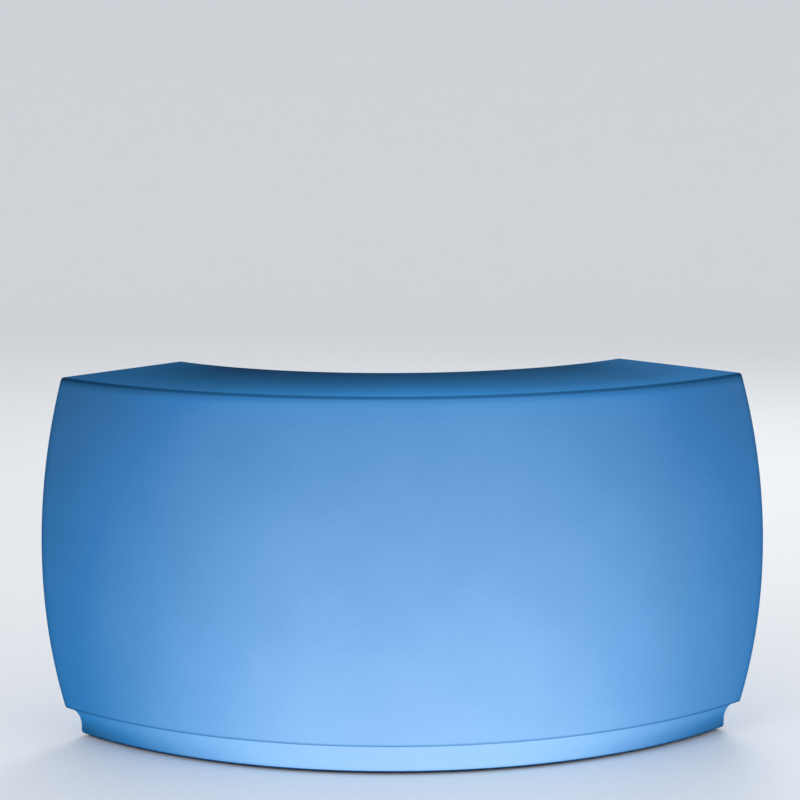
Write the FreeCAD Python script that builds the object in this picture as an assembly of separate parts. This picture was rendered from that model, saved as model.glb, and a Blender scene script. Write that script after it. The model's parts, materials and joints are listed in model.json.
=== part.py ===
"""Illuminated corner bar counter: a quarter-ring bar with a bulging front, a coved plinth and a rear niche.

Millimetres, +Z up. The origin is on the floor at the middle of the bar's bounding box.
-Y is the guests' side, +Y the service side, +X the right-hand end as the guests see it.
Every piece is built about an upright ring axis behind the bar. A place is a radius from that
axis, an angle from the middle of the bar (positive to the right) and a height above the floor.
"""

import FreeCAD, Part
import math
import os

from FreeCAD import Vector

# Overall form
HEIGHT = 1108.0
HALF_ANGLE = 45.0
BAR_DEPTH = 560.0
BASE_GAP = 8.0
WALL = 6.0
OVERRUN = 20.0
FIT_GAP = 0.15
RUN_CLEARANCE = 0.05

# Front: the belly is one upright arc, over a coved plinth
BELLY_REACH = 1520.0
BELLY_SWEEP = 1590.0
BELLY_HEIGHT = 578.0
TOP_ROUND = 12.0
LIP_HEIGHT = 101.0
LIP_ROUND = 10.0
COVE_ROUND = 70.0
PLINTH_SETBACK = 131.0
TOE_ROUND = 12.0
TOE_ARC_COUNT = 4
REAR_ROUND = 10.0
END_ROUND = 8.0

# Service niche and the liner that forms it
POST_ANGLE = 6.5
FRONT_CAVITY = 190.0
NICHE_FLOOR = 135.0
TOP_DEPTH = 70.0
NICHE_CORNER = 40.0
NICHE_BACK_ROUND = 25.0
LINER_WALL = 5.0
LINER_GAP = 2.0
FLANGE_WIDTH = 24.0
FLANGE_THICK = 5.0
FLANGE_EDGE_ROUND = 2.0
LINER_SEAL_WIDTH = 18.0
LINER_SEAL_THICK = 2.0
LINER_SCREW_INSET = 11.0
LINER_SCREW_ANGLES = (-30.0, -15.0, 0.0, 15.0, 30.0)
LINER_SCREW_HEIGHT_SHARES = (0.15, 0.5, 0.85)

# Pan-head screws used on the liner, the hatch, the rails, the trays and the gear plate
SCREW_RADIUS = 2.5
SCREW_HEAD_RADIUS = 5.0
SCREW_HEAD_HEIGHT = 3.0
SCREW_DRIVE_RADIUS = 2.0
SCREW_DRIVE_DEPTH = 1.6
SCREW_HEAD_ROUND = 1.2
SCREW_SEAT_RISE = 0.05
LINER_SCREW_LENGTH = 20.0
FLOOR_SCREW_GRIP = 4.5

# Shelves and the angle rails under them
WORK_SHELF_DROP = 230.0
LOWER_SHELF_DROP = 570.0
SHELF_THICK = 12.0
SHELF_GAP = 3.0
SHELF_SETBACK = 14.0
SHELF_CORNER = 32.0
SHELF_EDGE_ROUND = 2.0
RAIL_LEG = 30.0
RAIL_THICK = 3.0
RAIL_FRONT_GAP = 45.0
RAIL_BACK_GAP = 50.0
RAIL_END_ANGLE = 3.5
RAIL_SIDE_SHARES = (0.15, 0.85)
RAIL_BACK_ANGLES = (-30.0, 0.0, 30.0)
RAIL_NUT_RADIUS = 5.0
RAIL_NUT_THICK = 4.0
RAIL_SCREW_LENGTH = 13.0
SHELF_SCREW_LENGTH = 11.0
SHELF_SCREW_OFFSET = 5.0

# Gear hatch in the rear band under the niche
HATCH_HALF_ANGLE = 8.0
HATCH_LOW = 34.0
HATCH_HIGH = 92.0
HATCH_OVERLAP = 12.0
HATCH_CORNER = 8.0
HATCH_THICK = 4.0
HATCH_SEAL_THICK = 2.0
HATCH_SEAL_INSET = 1.5
HATCH_EDGE_ROUND = 1.5
HATCH_SCREW_INSET = 6.0
HATCH_SCREW_ANGLES = (-7.0, 0.0, 7.0)
HATCH_SCREW_LENGTH = 14.0

# Light units on the floor of the shell
TRAY_SETBACK = 18.0
TRAY_ANGLES = (-18.0, 0.0, 18.0)
TRAY_LENGTH = 320.0
TRAY_WIDTH = 56.0
TRAY_FLANGE = 12.0
TRAY_HEIGHT = 20.0
TRAY_SHEET = 1.5
TRAY_SCREW_SHARE = 0.42
BOARD_LENGTH = 300.0
BOARD_WIDTH = 40.0
BOARD_THICK = 1.6
LED_SIZE = 5.0
LED_THICK = 1.6
LED_ROW_SHARES = (-0.22, 0.22)
LEDS_PER_ROW = 10
LED_SPAN_SHARE = 0.92
COVER_LENGTH = 314.0
COVER_WIDTH = 52.0
COVER_HEIGHT = 20.0
COVER_WALL = 2.0
COVER_ROUND = 8.0

# Gear plate, power supply, controller and antenna
GEAR_SETBACK = 84.0
GEAR_PLATE_LENGTH = 310.0
GEAR_PLATE_DEPTH = 120.0
GEAR_PLATE_THICK = 2.0
GEAR_SCREW_INSET = 10.0
GEAR_EDGE_ROUND = 3.0
SUPPLY_OFFSET = -60.0
SUPPLY_LENGTH = 160.0
SUPPLY_DEPTH = 64.0
SUPPLY_HEIGHT = 36.0
CONTROLLER_OFFSET = 85.0
CONTROLLER_LENGTH = 100.0
CONTROLLER_DEPTH = 64.0
CONTROLLER_HEIGHT = 28.0
ANTENNA_RADIUS = 4.0
ANTENNA_TIP_RADIUS = 3.0
ANTENNA_LENGTH = 55.0
ANTENNA_OFFSET_SHARE = 0.32

# Leads inside the base
LEAD_RADIUS = 2.5
LEAD_LIFT = 5.0
LEAD_BEND_SHARE = 0.45
LEAD_PORT_SHARES = (-0.34, -0.06, 0.22)
LEAD_PLATE_GAP = 12.0
LEAD_RUN_SHARE = 0.42
LEAD_STRAIGHT = 40.0
CENTRE_LEAD_OFFSET = 40.0
SUPPLY_LEAD_OUT = 50.0
SWITCH_LEAD_OUT = 42.0
SWITCH_LEAD_WALL_GAP = 4.0
SWITCH_LEAD_SETTLE = 110.0
SWITCH_LEAD_TURN = 130.0
SWITCH_LEAD_SHIFT = 30.0
SWITCH_LEAD_ANGLES = (39.0, 30.0, 20.0, 12.0)
CLIP_RUN_SHARES = (0.22, 0.5, 0.78)
CLIP_WIDTH = 14.0
CLIP_HEIGHT = 10.0
CLIP_SKIN = 3.0

# Push button on the right-hand rear post
SWITCH_END_ANGLE = 2.8
SWITCH_DROP = 200.0
SWITCH_BARREL_RADIUS = 11.0
SWITCH_BEZEL_RADIUS = 14.0
SWITCH_BEZEL_HEIGHT = 3.0
SWITCH_BEZEL_ROUND = 1.2
SWITCH_DEPTH = 34.0
SWITCH_BUTTON_RADIUS = 8.0
SWITCH_BUTTON_LENGTH = 10.0
SWITCH_BUTTON_PROUD = 2.5
SWITCH_BUTTON_ROUND = 1.0
SWITCH_TRAVEL = 2.0
SWITCH_NUT_FLATS = 27.0
SWITCH_NUT_THICK = 5.0
SEAL_THICK = 1.0
SPOT_DEPTH = 1.5
SPOT_GAP = 1.0

# Power inlet with a hinged cap, in the rear band
INLET_ANGLE = -14.0
INLET_HEIGHT = 58.0
INLET_FLANGE = 36.0
INLET_FLANGE_THICK = 4.0
INLET_CORNER = 4.0
INLET_BARREL_RADIUS = 13.0
INLET_DEPTH = 34.0
INLET_SOCKET_RADIUS = 10.0
INLET_SOCKET_DEPTH = 24.0
INLET_PIN_RADIUS = 1.6
INLET_PIN_LENGTH = 14.0
INLET_PIN_CIRCLE = 4.5
INLET_PIN_COUNT = 3
INLET_SCREW_RADIUS = 1.5
INLET_SCREW_HEAD = 2.7
INLET_SCREW_HEAD_HEIGHT = 1.6
INLET_SCREW_LENGTH = 9.0
INLET_SCREW_INSET = 4.5
CAP_RADIUS = 12.5
CAP_THICK = 3.0
CAP_PLUG_RADIUS = 9.6
CAP_PLUG_DEPTH = 2.0
CAP_GAP = 0.4
CAP_TAB = 5.0
HINGE_PIN_RADIUS = 1.25
HINGE_KNUCKLE_RADIUS = 2.75
HINGE_CAP_WIDTH = 9.0
HINGE_EAR_WIDTH = 4.0
HINGE_SIDE_GAP = 0.3

# Breather vent in the rear band
VENT_ANGLE = 14.0
VENT_HEIGHT = 58.0
VENT_BARREL_RADIUS = 6.0
VENT_HEAD_RADIUS = 10.0
VENT_HEAD_HEIGHT = 6.0
VENT_LENGTH = 16.0
VENT_SLOT_WIDTH = 1.5
VENT_SLOT_DEPTH = 2.0
VENT_SLOT_SHARES = (-0.5, 0.0, 0.5)

# Threaded inserts in the end faces, for bolting the next bar module on
LINK_INSET = 150.0
LINK_LOW_HEIGHT = 300.0
LINK_TOP_DROP = 200.0
LINK_BORE_RADIUS = 3.4
LINK_INSERT_RADIUS = 7.0
LINK_INSERT_LENGTH = 25.0
LINK_BOSS_RADIUS = 15.0
LINK_BOSS_FLOOR = 6.0

# Levelling feet
FOOT_REAR_INSET = 42.0
FOOT_FRONT_INSET = 47.0
FOOT_REAR_END_ANGLE = 7.0
FOOT_SIDE_END_ANGLE = 9.0
FOOT_FRONT_ANGLE = 9.0
PAD_RADIUS = 22.0
PAD_THICK = 4.0
PAD_SOCKET_FLOOR = 1.2
PAD_ROUND = 1.5
STUD_RADIUS = 5.0
STUD_LENGTH = 66.0
STUD_COLLAR_FLATS = 17.0
STUD_COLLAR_THICK = 3.4
FOOT_INSERT_RADIUS = 9.0
FOOT_INSERT_LENGTH = 32.0
FOOT_BOSS_RADIUS = 17.0

# Worked-out places
UP = Vector(0, 0, 1)
OUT = Vector(0, 1, 0)
HALF_TURN = math.radians(HALF_ANGLE)
REAR_RADIUS = BELLY_REACH - BAR_DEPTH
PLINTH_RADIUS = BELLY_REACH - PLINTH_SETBACK
BELLY_CENTRE_RADIUS = BELLY_REACH - BELLY_SWEEP
CORNER_TRIM = END_ROUND * (math.sin(HALF_TURN) + math.cos(HALF_TURN) - 1)
AXIS_Y = (BELLY_REACH + REAR_RADIUS * math.cos(HALF_TURN) + CORNER_TRIM) / 2
AXIS = Vector(0, AXIS_Y, 0)
REAR_FACE_Y = AXIS_Y - REAR_RADIUS
FLOOR_TOP = BASE_GAP + WALL
NICHE_HALF_ANGLE = HALF_ANGLE - POST_ANGLE
NICHE_BACK_RADIUS = BELLY_REACH - FRONT_CAVITY
NICHE_CEILING = HEIGHT - TOP_DEPTH
FLANGE_BACK_RADIUS = REAR_RADIUS - LINER_SEAL_THICK
FLANGE_FACE_RADIUS = FLANGE_BACK_RADIUS - FLANGE_THICK
WORK_SHELF_HEIGHT = NICHE_CEILING - WORK_SHELF_DROP
LOWER_SHELF_HEIGHT = NICHE_CEILING - LOWER_SHELF_DROP
RAIL_SPAN = NICHE_BACK_RADIUS - RAIL_BACK_GAP - REAR_RADIUS - RAIL_FRONT_GAP
RAIL_BACK_HALF_ANGLE = NICHE_HALF_ANGLE - RAIL_END_ANGLE
HATCH_BACK_RADIUS = REAR_RADIUS - HATCH_SEAL_THICK
HATCH_FACE_RADIUS = HATCH_BACK_RADIUS - HATCH_THICK
TRAY_RADIUS = PLINTH_RADIUS - WALL - TRAY_SETBACK - TRAY_FLANGE - TRAY_WIDTH / 2
LED_TOP = FLOOR_TOP + TRAY_HEIGHT + BOARD_THICK
GEAR_RADIUS = REAR_RADIUS + WALL + GEAR_SETBACK + GEAR_PLATE_DEPTH / 2
TRAY_REAR_RADIUS = TRAY_RADIUS - TRAY_WIDTH / 2
LEAD_FRONT_RADIUS = GEAR_RADIUS + GEAR_PLATE_DEPTH / 2 + LEAD_PLATE_GAP
LEAD_RUN_RADIUS = LEAD_FRONT_RADIUS + LEAD_RUN_SHARE * (TRAY_REAR_RADIUS - LEAD_FRONT_RADIUS)
SWITCH_LEAD_RADIUS = GEAR_RADIUS - SWITCH_LEAD_SHIFT
SWITCH_ANGLE = HALF_ANGLE - SWITCH_END_ANGLE
SWITCH_HEIGHT = HEIGHT - SWITCH_DROP
SEAT_Y = REAR_FACE_Y - SPOT_DEPTH
HINGE_RISE = INLET_FLANGE / 2 + HINGE_KNUCKLE_RADIUS + CAP_GAP
LINK_RADIUS = REAR_RADIUS + LINK_INSET
LINK_HEIGHTS = (LINK_LOW_HEIGHT, HEIGHT - LINK_TOP_DROP)
FOOT_REAR_RADIUS = REAR_RADIUS + FOOT_REAR_INSET
FOOT_FRONT_RADIUS = PLINTH_RADIUS - FOOT_FRONT_INSET
FOOT_REAR_ANGLE = HALF_ANGLE - FOOT_REAR_END_ANGLE
FOOT_SIDE_ANGLE = HALF_ANGLE - FOOT_SIDE_END_ANGLE
FOOT_PLACES = {
    "rear_left": (FOOT_REAR_RADIUS, -FOOT_REAR_ANGLE),
    "rear_right": (FOOT_REAR_RADIUS, FOOT_REAR_ANGLE),
    "side_left": (FOOT_FRONT_RADIUS, -FOOT_SIDE_ANGLE),
    "side_right": (FOOT_FRONT_RADIUS, FOOT_SIDE_ANGLE),
    "front_left": (FOOT_FRONT_RADIUS, -FOOT_FRONT_ANGLE),
    "front_right": (FOOT_FRONT_RADIUS, FOOT_FRONT_ANGLE),
}


# Shared helpers

def spot(radius, height):
    """A point of the middle section."""
    return Vector(0, AXIS_Y - radius, height)


def place(radius, angle, height):
    """A point at any angle round the ring."""
    turn = math.radians(angle)
    return Vector(radius * math.sin(turn), AXIS_Y - radius * math.cos(turn), height)


def turned(shape, angle):
    """A copy of a shape built at the middle of the bar, carried round the ring axis."""
    copy = shape.copy()
    copy.rotate(AXIS, UP, angle)
    return copy


def joined(shapes):
    """Several touching shapes as one solid."""
    first, *rest = shapes
    return first.fuse(rest).removeSplitter() if rest else first


def line(start, end):
    return Part.LineSegment(start, end).toShape()


def arc_about(centre, start, end):
    """An arc of under half a circle."""
    reach = (start - centre).Length
    middle = (start - centre) + (end - centre)
    middle.normalize()
    return Part.Arc(start, centre + middle * reach, end).toShape()


def arc_run(centre, start, end, count):
    """An arc as a run of shorter ones, so that its swept faces stay narrow."""
    reach = (start - centre).Length
    points = []
    for n in range(count + 1):
        share = n / count
        way = (start - centre) * (1 - share) + (end - centre) * share
        way.normalize()
        points.append(centre + way * reach)
    return [arc_about(centre, here, there) for here, there in zip(points, points[1:])]


def sector(face, half_angle):
    """A middle-section face swept round the ring, evenly to both sides."""
    start = face.copy()
    start.rotate(AXIS, UP, -half_angle)
    return start.revolve(AXIS, UP, 2 * half_angle)


def rectangle(inner, outer, low, high):
    """A rectangular face of the middle section."""
    corners = [spot(inner, low), spot(outer, low), spot(outer, high), spot(inner, high), spot(inner, low)]
    return Part.Face(Part.makePolygon(corners))


def wedge(half_angle, inset):
    """An upright prism between two end planes, moved inwards by the inset."""
    turn = math.radians(half_angle)
    far = 2 * BELLY_REACH
    tip = Vector(0, AXIS_Y - inset / math.sin(turn), -OVERRUN)
    right = tip + Vector(far * math.sin(turn), -far * math.cos(turn), 0)
    left = tip + Vector(-far * math.sin(turn), -far * math.cos(turn), 0)
    return Part.Face(Part.makePolygon([tip, right, left, tip])).extrude(UP * (HEIGHT + 2 * OVERRUN))


def radius_of(point):
    return math.hypot(point.x, point.y - AXIS_Y)


def curved_block(inner, outer, low, high, half_angle, grow=0.0, corner=0.0):
    """A block bent round the ring, grown on its four sides, with corners rounded as seen from behind."""
    block = sector(rectangle(inner, outer, low - grow, high + grow), HALF_ANGLE)
    block = block.common(wedge(half_angle, -grow)).Solids[0]
    if corner > 0:
        edges = []
        for edge in block.Edges:
            ends = [radius_of(v.Point) for v in edge.Vertexes]
            if len(ends) > 1 and abs(ends[0] - ends[1]) > (outer - inner) / 2:
                edges.append(edge)
        block = block.makeFillet(corner + grow, edges)
    return block


def edges_at_radius(shape, radius):
    """The edges of a bent block that lie on one of its two round faces."""
    return [e for e in shape.Edges if all(abs(radius_of(v.Point) - radius) < FIT_GAP for v in e.Vertexes)]


def edges_at_height(shape, height):
    return [e for e in shape.Edges if all(abs(v.Point.z - height) < FIT_GAP for v in e.Vertexes)]


def rod(radius, start, direction, length):
    return Part.makeCylinder(radius, length, start, direction)


def screw(start, direction, length, radius=SCREW_RADIUS, head=SCREW_HEAD_RADIUS, rise=SCREW_HEAD_HEIGHT):
    """A pan-head screw. Start is under the head, and direction points out of the head."""
    seat = start + direction * SCREW_SEAT_RISE
    shank = rod(radius, start - direction * length, direction, length + SCREW_SEAT_RISE)
    cap = rod(head, seat, direction, rise)
    top = seat + direction * rise
    rim = [e for e in cap.Edges if e.Closed and (e.BoundBox.Center - top).Length < FIT_GAP]
    cap = cap.makeFillet(min(SCREW_HEAD_ROUND, rise / 2), rim)
    drive_radius = SCREW_DRIVE_RADIUS * head / SCREW_HEAD_RADIUS
    depth = SCREW_DRIVE_DEPTH * rise / SCREW_HEAD_HEIGHT
    socket = rod(drive_radius, seat + direction * (rise - depth), direction, rise)
    return shank.fuse(cap).cut(socket)


def screw_hole(start, direction, length, radius=SCREW_RADIUS):
    """The clearance hole for a screw, open at the head's side."""
    return rod(radius + FIT_GAP, start - direction * (length + FIT_GAP), direction, length + OVERRUN)


def box_at(offset, radius, length, depth, low, height):
    """A straight box across the middle section, by its centre's offset to the right and its radius."""
    corner = Vector(offset - length / 2, AXIS_Y - radius - depth / 2, low)
    return Part.makeBox(length, depth, height, corner)


def hexagon(flats, middle, right, up):
    """A regular hexagon face by its width across flats."""
    reach = flats / math.sqrt(3)
    turns = [math.radians(60 * n) for n in range(7)]
    corners = [middle + right * (reach * math.cos(t)) + up * (reach * math.sin(t)) for t in turns]
    return Part.Face(Part.makePolygon(corners))


def upright_edges(shape):
    return [e for e in shape.Edges if abs(abs(e.tangentAt(e.FirstParameter).dot(UP)) - 1) < 1e-6]


def lead(points):
    """A round cable through straight runs and tangent arcs, as large as the runs allow."""
    edges = []
    here = points[0]
    for before, corner, after in zip(points, points[1:], points[2:]):
        back = before - corner
        ahead = after - corner
        cut = LEAD_BEND_SHARE * min(back.Length, ahead.Length)
        back.normalize()
        ahead.normalize()
        start = corner + back * cut
        end = corner + ahead * cut
        bisector = back + ahead
        bisector.normalize()
        half = math.acos(max(-1.0, min(1.0, back.dot(ahead)))) / 2
        bend = cut * math.tan(half)
        middle = corner + bisector * (math.hypot(cut, bend) - bend)
        edges.append(line(here, start))
        edges.append(Part.Arc(start, middle, end).toShape())
        here = end
    edges.append(line(here, points[-1]))
    along = points[1] - points[0]
    ring = Part.Wire(Part.makeCircle(LEAD_RADIUS, points[0], along))
    return Part.Wire(edges).makePipeShell([ring], True, False)


# Shell

def belly_point(inset, height):
    """Radius of the curve that lies inside the belly by an inset, at a height."""
    return BELLY_CENTRE_RADIUS + math.sqrt((BELLY_SWEEP - inset) ** 2 - (height - BELLY_HEIGHT) ** 2)


def toward(start, target, reach):
    """The point at a distance from the start, on the way to the target."""
    way = target - start
    way.normalize()
    return start + way * reach


def shell_section(inset=0.0):
    """The section inside the outer one by an inset: base, toe, plinth, cove, lip, belly, top and rear."""
    toe = spot(PLINTH_RADIUS - TOE_ROUND, BASE_GAP + TOE_ROUND)
    lip = spot(belly_point(LIP_ROUND, LIP_HEIGHT + LIP_ROUND), LIP_HEIGHT + LIP_ROUND)
    cove_radius = PLINTH_RADIUS + COVE_ROUND
    reach = radius_of(lip) - cove_radius
    cove = spot(cove_radius, lip.z - math.sqrt((COVE_ROUND + LIP_ROUND) ** 2 - reach ** 2))
    crown = spot(belly_point(TOP_ROUND, HEIGHT - TOP_ROUND), HEIGHT - TOP_ROUND)
    rear_top = spot(REAR_RADIUS + REAR_ROUND, HEIGHT - REAR_ROUND)
    rear_low = spot(REAR_RADIUS + REAR_ROUND, BASE_GAP + REAR_ROUND)
    belly = Vector(0, AXIS_Y - BELLY_CENTRE_RADIUS, BELLY_HEIGHT)
    plinth = PLINTH_RADIUS - inset
    rear = REAR_RADIUS + inset
    base = BASE_GAP + inset
    top = HEIGHT - inset
    cove_end = toward(cove, lip, COVE_ROUND + inset)
    belly_low = toward(belly, lip, BELLY_SWEEP - inset)
    belly_high = toward(belly, crown, BELLY_SWEEP - inset)
    edges = [
        line(spot(radius_of(rear_low), base), spot(radius_of(toe), base)),
        *arc_run(toe, spot(radius_of(toe), base), spot(plinth, toe.z), TOE_ARC_COUNT),
        line(spot(plinth, toe.z), spot(plinth, cove.z)),
        arc_about(cove, spot(plinth, cove.z), cove_end),
        arc_about(lip, cove_end, belly_low),
        arc_about(belly, belly_low, belly_high),
        arc_about(crown, belly_high, spot(radius_of(crown), top)),
        line(spot(radius_of(crown), top), spot(radius_of(rear_top), top)),
        arc_about(rear_top, spot(radius_of(rear_top), top), spot(rear, rear_top.z)),
        line(spot(rear, rear_top.z), spot(rear, rear_low.z)),
        arc_about(rear_low, spot(rear, rear_low.z), spot(radius_of(rear_low), base)),
    ]
    return Part.Face(Part.Wire(edges))


def outer_form():
    """The bar's outside as a full solid, with its end edges rounded."""
    form = sector(shell_section(), HALF_ANGLE)
    turn = math.radians(HALF_ANGLE)
    edges = []
    for edge in form.Edges:
        middle = edge.valueAt((edge.FirstParameter + edge.LastParameter) / 2)
        spots = [v.Point for v in edge.Vertexes] + [middle]
        if all(abs(abs(math.atan2(p.x, AXIS_Y - p.y)) - turn) < 1e-6 for p in spots):
            edges.append(edge)
    return form.makeFillet(END_ROUND, edges)


def cavity_form():
    """The hollow inside the shell, one wall thickness in from every face."""
    return sector(shell_section(WALL), HALF_ANGLE).common(wedge(HALF_ANGLE, WALL))


def niche(grow, open_radius):
    """The service niche, or its liner's outside, from an open radius to the back."""
    back = NICHE_BACK_RADIUS + grow
    block = curved_block(open_radius, back, NICHE_FLOOR, NICHE_CEILING, NICHE_HALF_ANGLE, grow, NICHE_CORNER)
    return block.makeFillet(NICHE_BACK_ROUND + grow, edges_at_radius(block, back))


def end_rod(side, radius, height, start, length, thick):
    """A rod square to an end face (side -1 is the left end) that begins a distance inside the face."""
    begin = Vector(-side * start, AXIS_Y - radius, height)
    return turned(rod(thick, begin, Vector(-side, 0, 0), length), side * HALF_ANGLE)


def body_shell():
    """Moulded translucent shell: front, top, ends, plinth, base and the rear frame round the niche."""
    shell = outer_form().cut(cavity_form())
    shell = shell.cut(niche(LINER_WALL + LINER_GAP, REAR_RADIUS - OVERRUN))
    bosses = []
    holes = []
    for radius, angle in FOOT_PLACES.values():
        foot = place(radius, angle, BASE_GAP + WALL / 2)
        bosses.append(rod(FOOT_BOSS_RADIUS, foot, UP, FOOT_INSERT_LENGTH - WALL / 2))
        low = place(radius, angle, BASE_GAP - OVERRUN)
        holes.append(rod(FOOT_INSERT_RADIUS + FIT_GAP, low, UP, FOOT_INSERT_LENGTH + 2 * OVERRUN))
    for side in (-1, 1):
        for height in LINK_HEIGHTS:
            boss_length = LINK_INSERT_LENGTH + LINK_BOSS_FLOOR - WALL / 2
            bosses.append(end_rod(side, LINK_RADIUS, height, WALL / 2, boss_length, LINK_BOSS_RADIUS))
            bore_length = LINK_INSERT_LENGTH + OVERRUN
            bore_radius = LINK_INSERT_RADIUS + FIT_GAP
            holes.append(end_rod(side, LINK_RADIUS, height, -OVERRUN, bore_length, bore_radius))
    shell = shell.fuse(bosses)
    holes.append(hatch_block(REAR_RADIUS - OVERRUN, REAR_RADIUS + WALL + OVERRUN, -HATCH_OVERLAP))
    holes += [screw_hole(start, way, LINER_SCREW_LENGTH) for start, way in liner_screw_places()]
    holes += [screw_hole(start, way, HATCH_SCREW_LENGTH) for start, way in hatch_screw_places()]
    holes += [screw_hole(start, UP, FLOOR_SCREW_GRIP + TRAY_SHEET) for start in tray_screw_places()]
    holes += [screw_hole(start, UP, FLOOR_SCREW_GRIP + GEAR_PLATE_THICK) for start in gear_screw_places()]
    holes += fitting_holes(SWITCH_ANGLE, SWITCH_HEIGHT, SWITCH_BEZEL_RADIUS, SWITCH_BARREL_RADIUS)
    holes += fitting_holes(VENT_ANGLE, VENT_HEIGHT, VENT_HEAD_RADIUS, VENT_BARREL_RADIUS)
    holes += fitting_holes(INLET_ANGLE, INLET_HEIGHT, INLET_FLANGE / math.sqrt(2), INLET_BARREL_RADIUS)
    holes += [turned(rod(r, s, w, d), INLET_ANGLE) for r, s, w, d in inlet_screw_holes()]
    return shell.cut(holes)


def fitting_holes(angle, height, seat_radius, barrel_radius):
    """A flat seat and a barrel hole for a fitting in the rear wall."""
    seat = rod(seat_radius + SPOT_GAP, Vector(0, SEAT_Y, height), OUT, OVERRUN)
    barrel = rod(barrel_radius + FIT_GAP, Vector(0, SEAT_Y - WALL - OVERRUN, height), OUT, WALL + 2 * OVERRUN)
    return [turned(seat, angle), turned(barrel, angle)]


# Liner

def liner_screw_places():
    """Where the liner's screws sit: under the head, and the way out."""
    reach = LINER_SCREW_INSET + LINER_WALL
    places = []
    for angle in LINER_SCREW_ANGLES:
        places.append((angle, 0.0, NICHE_FLOOR - reach))
        places.append((angle, 0.0, NICHE_CEILING + reach))
    for share in LINER_SCREW_HEIGHT_SHARES:
        height = NICHE_FLOOR + share * (NICHE_CEILING - NICHE_FLOOR)
        for side in (-1, 1):
            places.append((side * NICHE_HALF_ANGLE, side * reach, height))
    found = []
    for angle, across, height in places:
        start = Vector(across, AXIS_Y - math.sqrt(FLANGE_FACE_RADIUS ** 2 - across ** 2), height)
        way = Vector(-across, AXIS_Y - start.y, 0)
        way.normalize()
        turn = FreeCAD.Rotation(UP, angle)
        found.append((AXIS + turn.multVec(start - AXIS), turn.multVec(way)))
    return found


def flange_ring(inner, outer, outer_grow, inner_grow):
    """A flat ring round the niche's mouth."""
    size = (NICHE_FLOOR, NICHE_CEILING, NICHE_HALF_ANGLE)
    ring = curved_block(inner, outer, *size, outer_grow, NICHE_CORNER)
    return ring.cut(curved_block(inner - OVERRUN, outer + OVERRUN, *size, inner_grow, NICHE_CORNER))


def service_liner():
    """Tub that forms the niche, with a flange screwed to the rear of the shell."""
    tub = niche(LINER_WALL, FLANGE_FACE_RADIUS)
    size = (NICHE_FLOOR, NICHE_CEILING, NICHE_HALF_ANGLE)
    flange = curved_block(FLANGE_FACE_RADIUS, FLANGE_BACK_RADIUS, *size, FLANGE_WIDTH, NICHE_CORNER)
    flange = flange.makeFillet(FLANGE_EDGE_ROUND, edges_at_radius(flange, FLANGE_FACE_RADIUS))
    liner = tub.fuse(flange).cut(niche(0.0, FLANGE_FACE_RADIUS - OVERRUN))
    holes = [screw_hole(start, way, LINER_SCREW_LENGTH) for start, way in liner_screw_places()]
    holes += [screw_hole(start, way, RAIL_SCREW_LENGTH) for start, way in rail_screw_places()]
    return liner.cut(holes)


def liner_seal():
    """Soft seal between the flange and the shell."""
    inner_grow = LINER_WALL + FIT_GAP
    ring = flange_ring(FLANGE_BACK_RADIUS, REAR_RADIUS, inner_grow + LINER_SEAL_WIDTH, inner_grow)
    return ring.cut([screw_hole(start, way, LINER_SCREW_LENGTH) for start, way in liner_screw_places()])


def liner_screws():
    return Part.makeCompound([screw(start, way, LINER_SCREW_LENGTH) for start, way in liner_screw_places()])


# Shelves and rails

def shelf(height):
    """A compact-laminate shelf that fills the niche."""
    face = rectangle(REAR_RADIUS + SHELF_SETBACK, NICHE_BACK_RADIUS - SHELF_GAP, height, height + SHELF_THICK)
    board = sector(face, HALF_ANGLE).common(wedge(NICHE_HALF_ANGLE, SHELF_GAP)).Solids[0]
    board = board.makeFillet(SHELF_CORNER, upright_edges(board))
    rims = edges_at_height(board, height) + edges_at_height(board, height + SHELF_THICK)
    board = board.makeFillet(SHELF_EDGE_ROUND, rims)
    holes = [screw_hole(start, way, SHELF_SCREW_LENGTH) for start, way in shelf_screw_places(height)]
    return board.cut(holes)


def side_rail(side, height):
    """A straight angle rail on one side wall of the niche."""
    depth = RAIL_SPAN
    rear = AXIS_Y - REAR_RADIUS - RAIL_FRONT_GAP - depth
    inner = min(0, -side * RAIL_LEG)
    top = Part.makeBox(RAIL_LEG, depth, RAIL_THICK, Vector(inner, rear, height - RAIL_THICK))
    inner = min(0, -side * RAIL_THICK)
    back = Part.makeBox(RAIL_THICK, depth, RAIL_LEG, Vector(inner, rear, height - RAIL_LEG))
    return turned(top.fuse(back).removeSplitter(), side * NICHE_HALF_ANGLE)


def back_rail(height):
    """A bent angle rail on the back wall of the niche."""
    outer = NICHE_BACK_RADIUS - FIT_GAP
    top = rectangle(outer - RAIL_LEG, outer, height - RAIL_THICK, height)
    back = rectangle(outer - RAIL_THICK, outer, height - RAIL_LEG, height)
    return sector(top, RAIL_BACK_HALF_ANGLE).fuse(sector(back, RAIL_BACK_HALF_ANGLE)).removeSplitter()


def rail_screw_places(heights=(WORK_SHELF_HEIGHT, LOWER_SHELF_HEIGHT)):
    """Screws through the rails' upright legs: under the head, and the way out."""
    found = []
    for height in heights:
        level = height - RAIL_LEG / 2 - RAIL_THICK / 2
        for side in (-1, 1):
            turn = FreeCAD.Rotation(UP, side * NICHE_HALF_ANGLE)
            for share in RAIL_SIDE_SHARES:
                radius = REAR_RADIUS + RAIL_FRONT_GAP + share * RAIL_SPAN
                start = Vector(-side * RAIL_THICK, -radius, level)
                found.append((AXIS + turn.multVec(start), turn.multVec(Vector(-side, 0, 0))))
        for angle in RAIL_BACK_ANGLES:
            turn = FreeCAD.Rotation(UP, angle)
            start = Vector(0, -(NICHE_BACK_RADIUS - FIT_GAP - RAIL_THICK), level)
            found.append((AXIS + turn.multVec(start), turn.multVec(OUT)))
    return found


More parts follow.
